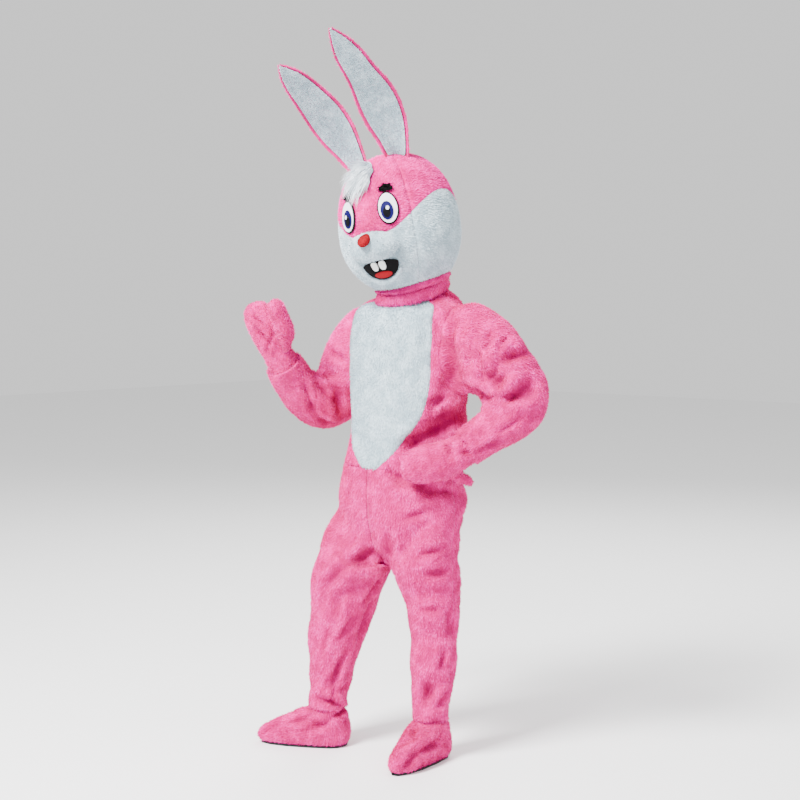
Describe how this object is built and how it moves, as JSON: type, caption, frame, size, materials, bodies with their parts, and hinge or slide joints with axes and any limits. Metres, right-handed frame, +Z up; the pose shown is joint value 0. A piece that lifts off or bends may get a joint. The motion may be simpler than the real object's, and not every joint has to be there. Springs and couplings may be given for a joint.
{
  "type": "plush rabbit costume held up by its wearer",
  "caption": "Full-body plush rabbit costume: belly-panelled jumpsuit with mitts and soled feet, and a hollow head with long ears, worn with an arm raised and a hand on the hip.",
  "frame": {"origin": "the point between the wearer's shoulders from which the suit hangs, 1.30 m above the soles", "axes": "+Z up, -Y the way the wearer's chest faces, +X the wearer's left"},
  "size_m": [0.8915, 0.5581, 2.1482],
  "materials": {
    "pink_plush": "pink long-pile plush",
    "white_plush": "cool white plush",
    "white_shag": "white long-haired plush",
    "black_felt": "black felt",
    "red_felt": "red felt",
    "red_flock": "red flocked plastic",
    "white_vinyl": "white vinyl",
    "blue_vinyl": "dark blue vinyl",
    "black_vinyl": "black vinyl",
    "tooth_foam": "white foam",
    "sole_rubber": "dark rubber sole sheet"
  },
  "bodies": {
    "root": {"back_left": "pink_plush", "back_right": "pink_plush", "belly": "white_plush", "brow": "pink_plush", "cap_left": "pink_plush", "cap_right": "pink_plush", "cheek_left": "white_plush", "cheek_right": "white_plush", "ear_back_left": "pink_plush", "ear_back_right": "pink_plush", "ear_front_left": "white_plush", "ear_front_right": "white_plush", "eye_glint_left": "white_vinyl", "eye_glint_right": "white_vinyl", "eye_iris_left": "blue_vinyl", "eye_iris_right": "blue_vinyl", "eye_pupil_left": "black_vinyl", "eye_pupil_right": "black_vinyl", "eye_rim_left": "black_felt", "eye_rim_right": "black_felt", "eye_white_left": "white_vinyl", "eye_white_right": "white_vinyl", "foot_left": "pink_plush", "foot_right": "pink_plush", "forelock": "white_shag", "front_left": "pink_plush", "front_right": "pink_plush", "lash_left": "black_felt", "lash_right": "black_felt", "lower_face": "white_plush", "lower_lip": "white_plush", "mitt_left": "pink_plush", "mitt_right": "pink_plush", "mouth": "black_felt", "muzzle": "white_plush", "neck_band_lower": "pink_plush", "neck_band_upper": "pink_plush", "nose": "red_flock", "sleeve_left": "pink_plush", "sleeve_right": "pink_plush", "sole_left": "sole_rubber", "sole_right": "sole_rubber", "thumb_left": "pink_plush", "thumb_right": "pink_plush", "tongue": "red_felt", "tooth_left": "tooth_foam", "tooth_right": "tooth_foam", "trouser_back_left": "pink_plush", "trouser_back_right": "pink_plush", "trouser_front_left": "pink_plush", "trouser_front_right": "pink_plush"}
  },
  "joints": []
}
